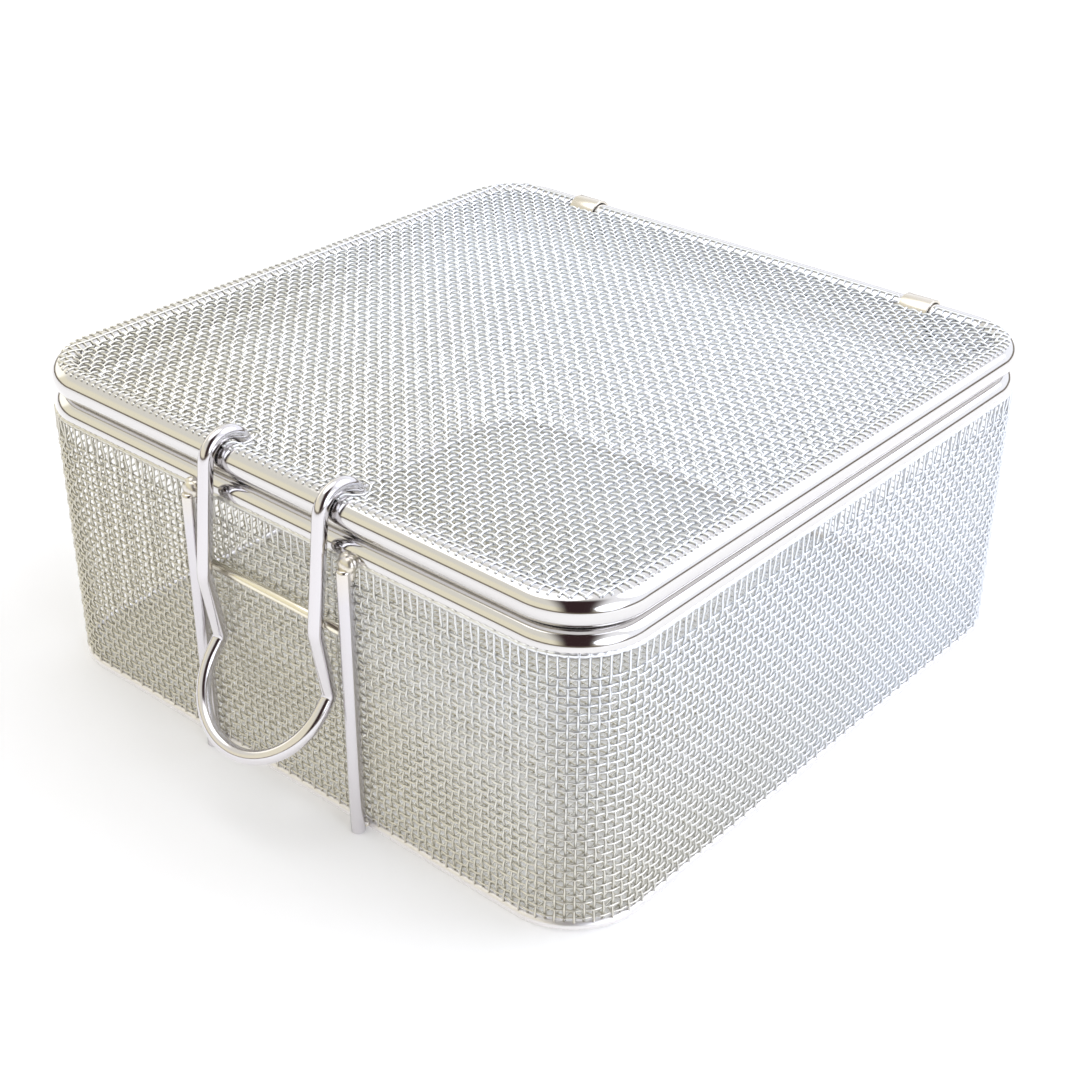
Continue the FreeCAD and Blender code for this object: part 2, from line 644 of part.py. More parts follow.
for item in doc.Objects:
    if "Invalid" in item.State or "Error" in item.State:
        raise RuntimeError("failed object: " + item.Name)
for node in NODES:
    if node.Shape.isNull() or not node.Shape.isValid():
        raise RuntimeError("bad shape: " + node.Label)
    if len(node.Shape.Solids) != 1:
        raise RuntimeError("not one solid: %s has %d" % (node.Label, len(node.Shape.Solids)))

os.makedirs("parts", exist_ok=True)
for node in NODES:
    node.Shape.exportStep("parts/%s.step" % node.Label)
    box = node.Shape.BoundBox
    print("%-18s volume %9.1f  x %7.2f %7.2f  y %7.2f %7.2f  z %6.2f %6.2f" % (
        node.Label, node.Shape.Volume, box.XMin, box.XMax, box.YMin, box.YMax, box.ZMin, box.ZMax))
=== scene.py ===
"""A small sterilization basket of woven stainless wire cloth, dressed and lit for rendering."""

import json
import math

import bpy
import numpy as np
from bpy.props import FloatProperty, FloatVectorProperty, IntProperty, PointerProperty
from mathutils import Matrix, Vector


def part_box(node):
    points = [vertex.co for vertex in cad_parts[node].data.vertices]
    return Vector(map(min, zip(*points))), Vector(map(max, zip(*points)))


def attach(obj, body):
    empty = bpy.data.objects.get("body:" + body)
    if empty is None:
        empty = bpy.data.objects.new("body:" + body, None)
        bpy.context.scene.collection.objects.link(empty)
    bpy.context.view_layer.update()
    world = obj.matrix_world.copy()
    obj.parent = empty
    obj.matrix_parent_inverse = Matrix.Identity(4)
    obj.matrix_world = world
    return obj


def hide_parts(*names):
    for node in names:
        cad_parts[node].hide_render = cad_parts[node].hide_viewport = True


bl_info = {
    "name": "Sterilization basket",
    "version": (1, 0, 0),
    "blender": (4, 5, 0),
    "location": "3D View > Sidebar > Basket",
    "description": "Woven wire cloth, rims, latch, hinge straps and studio of a small wire basket",
    "category": "Object",
}

MM = 0.001

# A four-sided wire of this much more radius looks as thick as the round wire

SQUARE = 1.11

# The middle of a cloth wire over the bead that it is welded to: it has sunk into the weld

SUNK = 0.09 * MM

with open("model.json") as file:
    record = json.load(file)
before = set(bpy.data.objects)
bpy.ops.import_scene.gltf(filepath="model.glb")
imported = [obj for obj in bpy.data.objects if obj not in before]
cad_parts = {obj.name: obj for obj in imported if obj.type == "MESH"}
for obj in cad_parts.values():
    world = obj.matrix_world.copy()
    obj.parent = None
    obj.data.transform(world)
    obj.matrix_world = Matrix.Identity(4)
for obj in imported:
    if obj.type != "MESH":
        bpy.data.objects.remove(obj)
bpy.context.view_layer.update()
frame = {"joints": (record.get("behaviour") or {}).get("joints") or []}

# A height in metres below every piece

FAR_BELOW = -1.0

RIM_LOW, RIM_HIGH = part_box("basket_rim")
LID_LOW, LID_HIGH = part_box("lid_rim")
RING_LOW, RING_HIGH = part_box("base_ring")
UPRIGHT_LOW, UPRIGHT_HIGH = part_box("upright_right")
CATCH_LOW, CATCH_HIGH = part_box("catch_bar")
STRAP_LOW, STRAP_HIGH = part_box("hinge_strap_right")
JOINT = {joint["name"]: joint for joint in frame["joints"]}
LATCH_AXIS = Vector(JOINT["latch_hinge"]["pos_m"])

BEAD_RADIUS = (RIM_HIGH.z - RIM_LOW.z) / 2
BEAD_HALF = RIM_HIGH.x - BEAD_RADIUS
RIM_LEVEL = (RIM_HIGH.z + RIM_LOW.z) / 2
LID_LEVEL = (LID_HIGH.z + LID_LOW.z) / 2
RING_RADIUS = (RING_HIGH.z - RING_LOW.z) / 2
RING_HALF = RING_HIGH.x - RING_RADIUS
WALL_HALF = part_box("wall_mesh")[1].x
UPRIGHT_RADIUS = (UPRIGHT_HIGH.x - UPRIGHT_LOW.x) / 2
UPRIGHT_X = (UPRIGHT_HIGH.x + UPRIGHT_LOW.x) / 2
UPRIGHT_Y = (UPRIGHT_HIGH.y + UPRIGHT_LOW.y) / 2
CATCH_RADIUS = (CATCH_HIGH.z - CATCH_LOW.z) / 2
CATCH_LEVEL = (CATCH_HIGH.z + CATCH_LOW.z) / 2
CATCH_Y = (CATCH_HIGH.y + CATCH_LOW.y) / 2
STRAP_X = (STRAP_HIGH.x + STRAP_LOW.x) / 2


def linear(code):
    """sRGB hex to the linear red, green and blue that Blender's colours hold."""
    parts = [int(code[i:i + 2], 16) / 255 for i in (1, 3, 5)]
    return [c / 12.92 if c <= 0.04045 else ((c + 0.055) / 1.055) ** 2.4 for c in parts]


def length(name, default_mm, description):
    """A length in metres, its default given in millimetres."""
    return FloatProperty(
        name=name, description=description, default=default_mm * MM, min=0.0, precision=5,
        unit="LENGTH", subtype="DISTANCE")


def colour(name, code, description):
    """A colour, its default given as sRGB hex."""
    return FloatVectorProperty(
        name=name, description=description, default=linear(code), min=0.0, max=1.0,
        size=3, subtype="COLOR")


def angle(name, degrees, description):
    """An angle, its default given in degrees."""
    return FloatProperty(
        name=name, description=description, default=math.radians(degrees), subtype="ANGLE")


class BasketClothSizes(bpy.types.PropertyGroup):
    """Sizes of the woven cloth."""
    wire: length("Cloth wire", 0.34, "Thickness of the wire that the cloth is woven from")
    crimp: length("Crimp", 0.15, "A wire's rise over the wire that it crosses")
    pitch: length("Cloth pitch", 1.256, "Middle to middle of two neighbouring wires")
    corner: length("Wall corner", 11.0, "Plan radius of a wall corner at the middle of the cloth")
    rounds: IntProperty(
        name="Wall rounds", description="Level wires one above the other in the walls", default=30, min=2)
    first_round: length("First round", 1.95, "Height of the lowest level wire")
    last_round: length("Last round", 38.4, "Height of the highest level wire")
    lid_rise: length("Lid cloth rise", 1.7, "Lid cloth above the middle of its bead")
    lid_reach: length("Lid reach", 0.8, "Ends of the lid's wires, outward from the middle of its bead")
    rear_clear: length("Rear clearance", 1.0, "Rear ends, inward from there, to clear the basket's rim")


class BasketLatchSizes(bpy.types.PropertyGroup):
    """Sizes of the bent latch wire."""
    wire: length("Latch wire", 2.1, "Thickness of the latch wire")
    half_span: length("Half span", 10.8, "Leg to the middle, and radius of the finger ring")
    hook_play: length("Hook play", 0.2, "Room between the hook and the bead")
    hook_tip: angle("Hook tip", -5.0, "End of the hook, from straight inward")
    leg_out: length("Leg out", 56.4, "Outermost bend of a leg, from the middle of the basket")
    leg_level: length("Leg level", 30.95, "Height of that bend")
    leg_bend: length("Leg bend", 5.0, "Radius of that bend")
    kink_bend: length("Kink bend", 1.6, "Radius of the kink above the finger ring")
    kink_rise: length("Kink rise", 2.1, "Kink to the start of the finger ring")
    ring_out: length("Ring out", 56.0, "Middle of the finger ring, from the middle of the basket")
    ring_level: length("Ring level", 18.95, "Height of the middle of the finger ring")
    ring_tilt: angle("Ring tilt", 41.0, "Lean of the finger ring out of the vertical")


class BasketStrapSizes(bpy.types.PropertyGroup):
    """Sizes of the hinge straps."""
    width: length("Strap width", 5.0, "Width of the strip")
    sheet: length("Strap sheet", 0.4, "Thickness of the strip")
    play: length("Strap play", 0.12, "Room between the strip and the lid's bead")
    inner_drop: length("Inner drop", 5.6, "Inner leg, down from the middle of the lid's bead")
    outer_drop: length("Outer drop", 4.0, "Outer leg, down from the middle of the lid's bead")


class BasketColours(bpy.types.PropertyGroup):
    """Colours of the metal and of the studio."""
    cloth: colour("Cloth", "#E6E9EE", "Electropolished wire of the cloth")
    cloth_painted_warm_shade: colour("Warm cloth", "#D0CCBF", "The same where the pickling left it warmer")
    bead: colour("Bead", "#D2D0CF", "Bright wire of the two rims")
    # Painted warm light and shade: the cloth takes this warmer, darker colour low down at the front left,
    # where the warm side of the room lights it
    frame_wire: colour("Frame wire", "#CFCCCF", "Wire of the uprights, catch bar and bottom ring")
    latch: colour("Latch", "#D2CFD1", "Bright spring wire of the latch")
    strap: colour("Strap", "#D3CDC2", "Strip of the hinge straps")
    straw: colour("Heat tint", "#E2DAC0", "Straw tint that welding leaves")
    # Painted warm reflection: the catch bar's cream colour stands in for the warm room that the wire
    # mirrors
    catch_bar: colour("Catch bar", "#E6E0CE", "Wire of the catch bar, tinted all along")
    floor: colour("Floor", "#F2F2F2", "Pale studio floor")


def sizes_of(context, group):
    """One of the basket's property groups on the scene."""
    return getattr(context.scene, "basket_" + group)


# Shapes

def unit(vectors):
    """Vectors divided by their own length."""
    return vectors / np.linalg.norm(vectors, axis=-1, keepdims=True)


def circle(radius, sides):
    """Round profile: radius times the cosine and sine of evenly spaced angles."""
    turn = np.arange(sides) * (2 * np.pi / sides)
    return radius * np.stack([np.cos(turn), np.sin(turn)], -1)


def rounded_bar(wide, thick, edge, steps):
    """Rectangle profile with round corners: quarter circles about four inner corner points."""
    turn = (np.arange(steps) / (steps - 1)) * (np.pi / 2)
    points = []
    for quarter, (sx, sy) in enumerate(((1, 1), (-1, 1), (-1, -1), (1, -1))):
        middle = np.array([sx * (wide / 2 - edge), sy * (thick / 2 - edge)])
        swing = turn + quarter * np.pi / 2
        points.append(middle + edge * np.stack([np.cos(swing), np.sin(swing)], -1))
    return np.concatenate(points)


def around(places, half, corner, level):
    """Rounded square: points and outward directions at distances along its outline.

    Each side is a straight run and a quarter circle. The distance gives the side, then how far
    along the run, then the angle in the quarter circle, and the side turns the point about +Z.
    """
    run = 2 * (half - corner)
    side_length = run + corner * np.pi / 2
    side, along = np.divmod(places, side_length)
    bend = np.clip(along - run, 0, None) / corner
    slide = np.minimum(along, run) - run / 2
    x = half - corner + corner * np.cos(bend)
    y = slide + corner * np.sin(bend)
    turn = side * (np.pi / 2)
    points = np.stack([x * np.cos(turn) - y * np.sin(turn), x * np.sin(turn) + y * np.cos(turn)], -1)
    points = np.concatenate([points, np.broadcast_to(level, points.shape[:-1])[..., None]], -1)
    heading = turn + bend
    outward = np.stack([np.cos(heading), np.sin(heading), np.zeros_like(heading)], -1)
    return points, outward


def outline_length(half, corner):
    """Length of a rounded square."""
    return 4 * (2 * (half - corner) + corner * np.pi / 2)


def sweep(path, across, profile, closed=False, kept=None, scale=None):
    """Profiles carried along paths, as points, faces and surface coordinates.

    path and across hold wires x points x 3. Point j of the ring at path point k is the path point,
    plus the profile's first number along across, plus its second along tangent x across. Faces
    join a ring to the next, and both ends of an open wire are closed by the ring itself. kept
    marks the path points that are used, and scale thickens or thins a ring.
    """
    wires, count = path.shape[:2]
    if closed:
        tangent = np.roll(path, -1, axis=1) - np.roll(path, 1, axis=1)
    else:
        tangent = np.gradient(path, axis=1)
    other = unit(np.cross(unit(tangent), across))
    ring = profile[None, None] * (np.ones((wires, count)) if scale is None else scale)[..., None, None]
    points = path[:, :, None] + ring[..., :1] * across[:, :, None] + ring[..., 1:] * other[:, :, None]
    kept = np.ones((wires, count), bool) if kept is None else kept
    sides = len(profile)
    numbers = np.arange(wires * count * sides).reshape(wires, count, sides)
    following = np.roll(numbers, -1, axis=1)
    used = kept & np.roll(kept, -1, axis=1)
    if not closed:
        used[:, -1] = False
    step = np.linalg.norm(np.roll(path, -1, axis=1) - path, axis=-1)
    run = np.cumsum(step, axis=1) - step
    quads = np.stack([
        numbers, np.roll(numbers, -1, axis=2), np.roll(following, -1, axis=2), following], -1)[used]
    girth = np.linalg.norm(profile - np.roll(profile, -1, axis=0), axis=-1)
    around_ring = np.concatenate([[0], np.cumsum(girth)]) / MM
    u = np.stack([around_ring[:-1], around_ring[1:], around_ring[1:], around_ring[:-1]], -1)
    v = np.stack([run, run, run + step, run + step], -1)[used] / MM
    uv = np.stack([
        np.broadcast_to(u[None], (len(v), sides, 4)),
        np.broadcast_to(v[:, None], (len(v), sides, 4))], -1).reshape(-1, 2)
    caps = np.zeros((0, sides), int)
    if not closed:
        first = kept & ~np.concatenate([np.zeros((wires, 1), bool), kept[:, :-1]], 1)
        last = kept & ~np.concatenate([kept[:, 1:], np.zeros((wires, 1), bool)], 1)
        caps = np.concatenate([numbers[first][:, ::-1], numbers[last]])
    return points.reshape(-1, 3), quads.reshape(-1, 4), caps, uv


def blobs(middles, radii, rings, sides, lumps=0.0, seed=0):
    """Small rounded lumps: a sphere of rings and sides, its radius varied by a fixed random draw."""
    draw = np.random.default_rng(seed)
    lift = np.linspace(-np.pi / 2, np.pi / 2, rings + 2)[1:-1]
    turn = np.arange(sides) * (2 * np.pi / sides)
    band = np.stack([
        np.cos(lift)[:, None] * np.cos(turn), np.cos(lift)[:, None] * np.sin(turn),
        np.broadcast_to(np.sin(lift)[:, None], (rings, sides))], -1).reshape(-1, 3)
    ball = np.concatenate([band, [[0, 0, -1], [0, 0, 1]]])
    uneven = 1 + lumps * draw.uniform(-1, 1, (len(middles), len(ball), 1))
    points = middles[:, None] + ball[None] * radii[:, None] * uneven
    numbers = np.arange(rings * sides).reshape(rings, sides)
    beside = np.roll(numbers, -1, axis=1)
    quads = np.stack([numbers[:-1], beside[:-1], beside[1:], numbers[1:]], -1).reshape(-1, 4)
    south = np.stack([np.full(sides, rings * sides), beside[0], numbers[0]], -1)
    north = np.stack([np.full(sides, rings * sides + 1), numbers[-1], beside[-1]], -1)
    offset = (np.arange(len(middles)) * len(ball))[:, None, None]
    quads = (quads[None] + offset).reshape(-1, 4)
    triangles = (np.concatenate([south, north])[None] + offset).reshape(-1, 3)
    return points.reshape(-1, 3), quads, triangles, None


def bent_wire(corners, radii, steps):
    """Straight runs with round bends: each inner corner becomes an arc tangent to both runs."""
    corners = np.array(corners)
    into = unit(corners[1:-1] - corners[:-2])
    away = unit(corners[2:] - corners[1:-1])
    turn = np.arccos(np.clip(np.sum(into * away, -1), -1, 1))
    inside = unit(away - into)
    middle = corners[1:-1] + inside * (np.array(radii) / np.cos(turn / 2))[:, None]
    swing = (np.linspace(-0.5, 0.5, steps)[None] * turn[:, None])[..., None]
    along = unit(into + away)
    arcs = middle[:, None] + np.array(radii)[:, None, None] * (
        np.sin(swing) * along[:, None] - np.cos(swing) * inside[:, None])
    return np.concatenate([corners[:1], arcs.reshape(-1, 3), corners[-1:]])


# Meshes

def add_piece(name, shapes, material, body, nodes):
    """One mesh object out of swept or lumped shapes, put in the frame."""
    points = []
    loops = []
    totals = []
    coordinates = []
    offset = 0
    for shape_points, quads, caps, uv in shapes:
        loops += [quads.ravel() + offset, caps.ravel() + offset]
        totals += [np.full(len(quads), 4), np.full(len(caps), caps.shape[1])]
        coordinates.append(np.zeros((quads.size, 2)) if uv is None else uv)
        coordinates.append(np.zeros((caps.size, 2)))
        points.append(shape_points)
        offset += len(shape_points)
    points = np.concatenate(points)
    loops = np.concatenate(loops)
    totals = np.concatenate(totals)
    used = np.unique(loops)
    renumber = np.zeros(len(points), int)
    renumber[used] = np.arange(len(used))
    mesh = bpy.data.meshes.new(name)
    mesh.vertices.add(len(used))
    mesh.vertices.foreach_set("co", points[used].ravel().astype(np.float32))
    mesh.loops.add(len(loops))
    mesh.loops.foreach_set("vertex_index", renumber[loops].astype(np.int32))
    mesh.polygons.add(len(totals))
    starts = np.concatenate([[0], np.cumsum(totals)[:-1]])
    mesh.polygons.foreach_set("loop_start", starts.astype(np.int32))
    mesh.polygons.foreach_set("loop_total", totals.astype(np.int32))
    layer = mesh.uv_layers.new(name="along_wire")
    layer.data.foreach_set("uv", np.concatenate(coordinates).ravel().astype(np.float32))
    mesh.polygons.foreach_set("use_smooth", totals == 4)
    mesh.update(calc_edges=True)
    mesh.validate()
    mesh.materials.append(material)
    piece = bpy.data.objects.new(name, mesh)
    bpy.context.scene.collection.objects.link(piece)
    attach(piece, body)
    if nodes:
        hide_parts(*nodes)
    return piece


def woven(row_places, crossings, span, level, wave, wire, along_x, steps=2,
          shift=None, furthest=None, cut=None):
    """Wires of a flat cloth: straight across, rising and dipping by wave at every crossing.

    Wire i at crossing k lies at wave times cosine pi (k + i), and at zero halfway between two
    crossings. There are steps points from one crossing to the next, span gives where each wire
    ends, furthest the place that its far end doesn't pass, shift moves points aside, and cut marks
    points that are left out.
    """
    grid = np.arange(-steps, steps * len(crossings) + 1) / steps
    pitch = crossings[1] - crossings[0]
    travel = crossings[0] + grid * pitch
    ends = span(row_places)[:, None]
    far = ends if furthest is None else np.minimum(ends, furthest[:, None])
    place = np.clip(travel[None], -ends, far)
    kept = (travel[None] > -ends - pitch / steps) & (travel[None] < far + pitch / steps)
    number = np.arange(len(row_places))[:, None]
    rise = level + wave * np.cos(np.pi * (grid[None] + number)) * (np.abs(place - travel[None]) < pitch)
    fixed = np.broadcast_to(row_places[:, None], place.shape)
    path = np.stack([place, fixed, rise] if along_x else [fixed, place, rise], -1)
    if shift is not None:
        path = shift(path)
    if cut is not None:
        kept &= ~cut(path)
    across = np.broadcast_to(np.array([0.0, 0.0, 1.0]), path.shape)
    return sweep(path, across, circle(SQUARE * wire / 2, 4), kept=kept)


def centred(count, pitch):
    """Evenly spaced places about zero."""
    return (np.arange(count) - (count - 1) / 2) * pitch


def plan_reach(half, corner):
    """A function that gives how far a rounded square reaches at a distance from its middle line."""
    def reach(places):
        over = np.clip(np.abs(places) - (half - corner), 0, corner * 0.999)
        return half - corner + np.sqrt(corner ** 2 - over ** 2)
    return reach


def on_bead(plan, bead_corner):
    """Height of a wire on the lid's bead at points of the plan, and far below beside the bead.

    The distance to the bead's middle line is that of a rounded square, and the height is the
    square root of the bead's radius squared less that distance squared, and SUNK more.
    """
    over = np.abs(plan) - (BEAD_HALF - bead_corner)
    outside = np.linalg.norm(np.maximum(over, 0), axis=-1)
    gap = outside + np.minimum(over.max(axis=-1), 0) - bead_corner
    inside = np.maximum(BEAD_RADIUS ** 2 - gap ** 2, 0)
    return np.where(inside > 0, LID_LEVEL + np.sqrt(inside) + SUNK, FAR_BELOW)


# Materials

def node(tree, kind, values=(), links=(), **properties):
    """Adds a node with its properties, the values of its sockets and the links into them."""
    made = tree.nodes.new(kind)
    for name, value in properties.items():
        setattr(made, name, value)
    for key, value in dict(values).items():
        made.inputs[key].default_value = value
    for key, socket in dict(links).items():
        tree.links.new(socket, made.inputs[key])
    return made


def blend(tree, amount, first, second):
    """Colour between two others: amount 0 gives the first, 1 the second."""
    mixer = node(tree, "ShaderNodeMix", {}, {0: amount}, data_type="RGBA")
    for place, given in ((6, first), (7, second)):
        if isinstance(given, bpy.types.NodeSocket):
            tree.links.new(given, mixer.inputs[place])
        else:
            mixer.inputs[place].default_value = (*given, 1)
    return mixer.outputs[2]


def new_material(name):
    """An empty node material with its output node."""
    material = bpy.data.materials.new(name)
    material.use_nodes = True
    material.node_tree.nodes.clear()
    output = material.node_tree.nodes.new("ShaderNodeOutputMaterial")
    return material, material.node_tree, output


def shaded(tree, value, low, high):
    """A value from 0 to 1 stretched between two others."""
    return node(tree, "ShaderNodeMapRange", {"To Min": low, "To Max": high}, {"Value": value}).outputs[0]


def electropolished_cloth(context):
    """Electropolished stainless wire cloth.

    Pickled and polished after weaving, so it is bright but not a mirror, with clouds a few
    centimetres wide and a slightly uneven gloss. Low down at the front left it turns to a warmer,
    darker colour: painted warm light and shade of the room, not a tint of the metal.
    """
    colours = sizes_of(context, "colours")
    material, tree, output = new_material("electropolished_wire_cloth")
    place = node(tree, "ShaderNodeTexCoord").outputs["Object"]
    clouds = node(tree, "ShaderNodeTexNoise", {"Scale": 45.0, "Detail": 2.0}, {"Vector": place})
    grain = node(tree, "ShaderNodeTexNoise", {"Scale": 1600.0, "Detail": 2.0}, {"Vector": place})
    # Painted warm light and shade: a slope that grows low down at the front left, added to the clouds,
    # blends the cloth from its cool colour to the warmer, darker one
    painted_warm_light_slope = node(
        tree, "ShaderNodeVectorMath", {1: (-7.0, -9.0, -14.0)}, {0: place}, operation="DOT_PRODUCT")
    clouds_and_painted_warm_light = node(
        tree, "ShaderNodeMath", {1: 0.5}, {0: clouds.outputs["Fac"], 2: painted_warm_light_slope.outputs["Value"]},
        operation="MULTIPLY_ADD")
    tint = blend(
        tree, step_between(tree, clouds_and_painted_warm_light.outputs[0], -0.5, 0.6), colours.cloth, colours.cloth_painted_warm_shade)
    bump = node(
        tree, "ShaderNodeBump", {"Strength": 0.25, "Distance": 0.00003}, {"Height": grain.outputs["Fac"]})
    metal = node(
        tree, "ShaderNodeBsdfPrincipled", {"Metallic": 1.0},
        {"Base Color": tint, "Normal": bump.outputs[0],
         "Roughness": shaded(tree, grain.outputs["Fac"], 0.26, 0.40)})
    tree.links.new(metal.outputs[0], output.inputs["Surface"])
    return material


def drawn_wire(context, name, base, gloss, tint_from=None, tint_to=None):
    """Drawn stainless wire, electropolished.

    Drawing through a die leaves faint lines along the wire and slow waves in its gloss. Where it
    was welded the surface takes a straw tint.
    """
    colours = sizes_of(context, "colours")
    material, tree, output = new_material(name)
    coordinates = node(tree, "ShaderNodeTexCoord")
    place = coordinates.outputs["Object"]
    wire = node(
        tree, "ShaderNodeMapping", {"Scale": (5.0, 0.02, 1.0)}, {"Vector": coordinates.outputs["UV"]})
    lines = node(tree, "ShaderNodeTexNoise", {"Scale": 1.0, "Detail": 3.0}, {"Vector": wire.outputs[0]})
    waves = node(tree, "ShaderNodeTexNoise", {"Scale": 160.0, "Detail": 1.0}, {"Vector": place})
    height = node(
        tree, "ShaderNodeMath", {1: 0.12}, {0: lines.outputs["Fac"], 2: waves.outputs["Fac"]},
        operation="MULTIPLY_ADD")
    bump = node(
        tree, "ShaderNodeBump", {"Strength": 0.18, "Distance": 0.00006}, {"Height": height.outputs[0]})
    metal = node(
        tree, "ShaderNodeBsdfPrincipled", {"Metallic": 1.0, "Base Color": (*base, 1)},
        {"Normal": bump.outputs[0],
         "Roughness": shaded(tree, lines.outputs["Fac"], gloss, gloss + 0.08)})
    if tint_from is not None:
        height_up = node(tree, "ShaderNodeSeparateXYZ", {}, {"Vector": place}).outputs["Z"]
        amount = node(
            tree, "ShaderNodeMapRange", {"From Min": tint_from, "From Max": tint_to, "To Max": 0.4},
            {"Value": height_up})
        tint = blend(tree, amount.outputs[0], base, colours.straw)
        tree.links.new(tint, metal.inputs["Base Color"])
    tree.links.new(metal.outputs[0], output.inputs["Surface"])
    return material


def weld_metal(context):
    """Resistance weld: a melted lump, uneven and half straw tinted, half bright."""
    colours = sizes_of(context, "colours")
    material, tree, output = new_material("weld_lump")
    place = node(tree, "ShaderNodeTexCoord").outputs["Object"]
    melt = node(tree, "ShaderNodeTexNoise", {"Scale": 900.0, "Detail": 2.0}, {"Vector": place})
    tint = blend(
        tree, shaded(tree, melt.outputs["Fac"], -0.3, 1.2), colours.frame_wire, colours.straw)
    bump = node(
        tree, "ShaderNodeBump", {"Strength": 0.6, "Distance": 0.00015}, {"Height": melt.outputs["Fac"]})
    metal = node(
        tree, "ShaderNodeBsdfPrincipled", {"Metallic": 1.0, "Roughness": 0.32},
        {"Base Color": tint, "Normal": bump.outputs[0]})
    tree.links.new(metal.outputs[0], output.inputs["Surface"])
    return material


def made_once(maker, context, *details):
    """A material that several operators share."""
    name = details[0] if details else {
        electropolished_cloth: "electropolished_wire_cloth", weld_metal: "weld_lump"}[maker]
    return bpy.data.materials.get(name) or maker(context, *details)


# Operators

class BASKET_OT_wall_cloth(bpy.types.Operator):
    """Weave the four walls and their corners"""
    bl_idname = "basket.wall_cloth"
    bl_label = "Wall cloth"

    # Middle of the cloth behind the CAD wall's face, in wire thicknesses
    set_back = 1.18
    # Share of the crimp that the upright and the level wires take
    stake_share = 1.4
    round_share = 0.8
    # Band of melted wire ends: below the middle of the rim, half thickness and half height
    seam_drop = 0.45 * MM
    seam_thick = 0.22 * MM
    seam_tall = 0.32 * MM

    def execute(self, context):
        cloth = sizes_of(context, "cloth")
        material = made_once(electropolished_cloth, context)
        half = WALL_HALF - self.set_back * cloth.wire
        total = outline_length(half, cloth.corner)
        stakes = 2 * round(total / cloth.pitch / 2)
        pitch = total / stakes
        rounds = np.linspace(cloth.first_round, cloth.last_round, cloth.rounds)
        row_pitch = rounds[1] - rounds[0]
        places = (np.arange(stakes) + 0.5) * pitch
        grid = np.arange(2 * cloth.rounds - 1) / 2
        levels = cloth.first_round + grid * row_pitch
        foot = RING_HIGH.z - RING_RADIUS
        head = RIM_LEVEL - np.array([1.8, 0.9, 0.2]) * MM
        levels = np.concatenate([[foot], levels, head])
        number = np.arange(stakes)[:, None]
        swing = self.stake_share * cloth.crimp * np.cos(np.pi * (grid[None] + number))
        on_bead = BEAD_HALF + BEAD_RADIUS - half
        top = np.broadcast_to(on_bead + np.array([0.02, 0.05, 0.0]) * MM, (stakes, 3))
        swing = np.concatenate([np.zeros((stakes, 1)), swing, top], 1)
        along = places[:, None] + np.zeros_like(levels)[None]
        points, outward = around(along, half, cloth.corner, levels[None])
        path = points + outward * swing[..., None]
        shape = sweep(path, outward, circle(SQUARE * cloth.wire / 2, 4))
        add_piece("wall_stakes", [shape], material, "basket", ["wall_mesh"])
        steps = np.arange(2 * stakes) / 2
        number = np.arange(cloth.rounds)[:, None]
        along = (steps[None] + 0.5) * pitch + np.zeros_like(rounds)[:, None]
        points, outward = around(along, half, cloth.corner, rounds[:, None])
        swing = -self.round_share * cloth.crimp * np.cos(np.pi * (steps[None] + number))
        path = points + outward * swing[..., None]
        shape = sweep(path, outward, circle(SQUARE * cloth.wire / 2, 4), closed=True)
        add_piece("wall_rounds", [shape], material, "basket", ["wall_mesh"])
        self.seam(context, half, stakes, pitch)
        return {"FINISHED"}

    def seam(self, context, half, stakes, pitch):
        """Band of melted wire ends: a flat bar round the rim, uneven along its length."""
        cloth = sizes_of(context, "cloth")
        draw = np.random.default_rng(7)
        places = np.arange(4 * stakes) * (pitch / 4)
        out = BEAD_HALF + BEAD_RADIUS - 0.02 * MM
        uneven = draw.uniform(-1, 1, len(places))
        level = RIM_LEVEL - self.seam_drop + 0.04 * MM * uneven
        points, outward = around(places, out, cloth.corner + out - half, level)
        thick = 1 + 0.10 * draw.uniform(-1, 1, len(places)) - 0.16 * np.cos(2 * np.pi * places / pitch)
        profile = circle(1.0, 8) * np.array([self.seam_thick, self.seam_tall])
        shape = sweep(points[None], outward[None], profile, closed=True, scale=thick[None])
        add_piece(
            "rim_seam", [shape], made_once(electropolished_cloth, context), "basket", [])


class BASKET_OT_base_cloth(bpy.types.Operator):
    """Weave the bottom"""
    bl_idname = "basket.base_cloth"
    bl_label = "Bottom cloth"

    # Wire ends inside the middle of the bottom ring, and their corner short of the walls' corner
    end_room = 0.3 * MM
    corner_less = 0.7 * MM

    def execute(self, context):
        cloth = sizes_of(context, "cloth")
        material = made_once(electropolished_cloth, context)
        reach = plan_reach(RING_HALF - self.end_room, cloth.corner - self.corner_less)
        count = 2 * int(RING_HALF / cloth.pitch)
        places = centred(count, cloth.pitch)
        for name, along_x, sign in (("base_warp", False, 1), ("base_weft", True, -1)):
            shape = woven(
                places, places, reach, cloth.wire, sign * cloth.crimp, cloth.wire, along_x)
            add_piece(name, [shape], material, "basket", ["base_mesh"])
        return {"FINISHED"}


